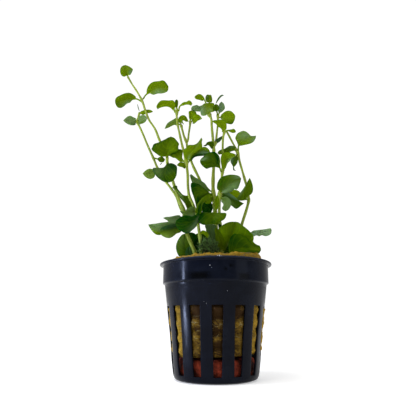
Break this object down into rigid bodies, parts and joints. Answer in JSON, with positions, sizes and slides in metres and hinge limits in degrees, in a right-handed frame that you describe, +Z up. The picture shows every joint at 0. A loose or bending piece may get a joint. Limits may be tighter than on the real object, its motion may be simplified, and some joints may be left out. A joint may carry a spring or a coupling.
{
  "type": "potted creeping jenny",
  "caption": "Upright stemmed aquarium plant with round opposite leaves, rooted in a rock wool plug on a clay weight in a slotted black net pot.",
  "frame": {"origin": "centre of the pot's foot, on the surface it stands on", "axes": "+Z up along the pot's axis; -Y towards the viewer of the picture; +X to that viewer's right"},
  "size_m": [0.081, 0.054, 0.1607],
  "materials": {
    "pot_plastic": "satin",
    "fired_clay": "matte",
    "rock_wool": "matte",
    "stem": "satin",
    "leaf": "satin"
  },
  "bodies": {
    "root": {"net_pot": "pot_plastic", "clay_weight": "fired_clay", "rock_wool_plug": "rock_wool", "stem_a": "stem", "stem_b": "stem", "stem_c": "stem", "stem_d": "stem", "stem_d_fork": "stem", "stem_e": "stem", "stem_e_fork": "stem", "stem_g": "stem", "stem_h": "stem", "leaf_a_crown": "leaf", "leaf_a_right": "leaf", "leaf_a_left": "leaf", "leaf_a_face": "leaf", "leaf_a_drop": "leaf", "leaf_a_curl": "leaf", "leaf_b_upper_left": "leaf", "leaf_b_upper_right": "leaf", "leaf_b_low_left": "leaf", "leaf_c_left": "leaf", "leaf_c_right": "leaf", "leaf_d_left": "leaf", "leaf_d_fork_up": "leaf", "leaf_d_fork_right": "leaf", "leaf_e_pale": "leaf", "leaf_e_broad": "leaf", "leaf_e_small": "leaf", "leaf_f_upright": "leaf", "leaf_f_right": "leaf", "leaf_g_wing": "leaf", "leaf_h_right": "leaf", "leaf_h_arch": "leaf", "leaf_h_hanging": "leaf", "leaf_h_upturned": "leaf", "leaf_c_behind": "leaf", "leaf_c_rising": "leaf", "leaf_c_arching": "leaf", "leaf_g_left": "leaf", "leaf_g_right": "leaf", "leaf_e_upper_left": "leaf", "leaf_e_lower_left": "leaf", "leaf_e_arc": "leaf", "leaf_g_broad": "leaf", "leaf_g_bright": "leaf", "leaf_g_lobe": "leaf", "leaf_g_dark": "leaf", "leaf_e_front": "leaf", "leaf_c_front": "leaf", "leaf_c_shelf": "leaf", "leaf_a_spear": "leaf", "leaf_a_long": "leaf", "leaf_a_under": "leaf", "leaf_a_round": "leaf", "leaf_g_grey": "leaf", "leaf_g_tall": "leaf", "leaf_g_coin": "leaf", "leaf_h_side": "leaf", "leaf_h_wavy": "leaf"}
  },
  "joints": []
}
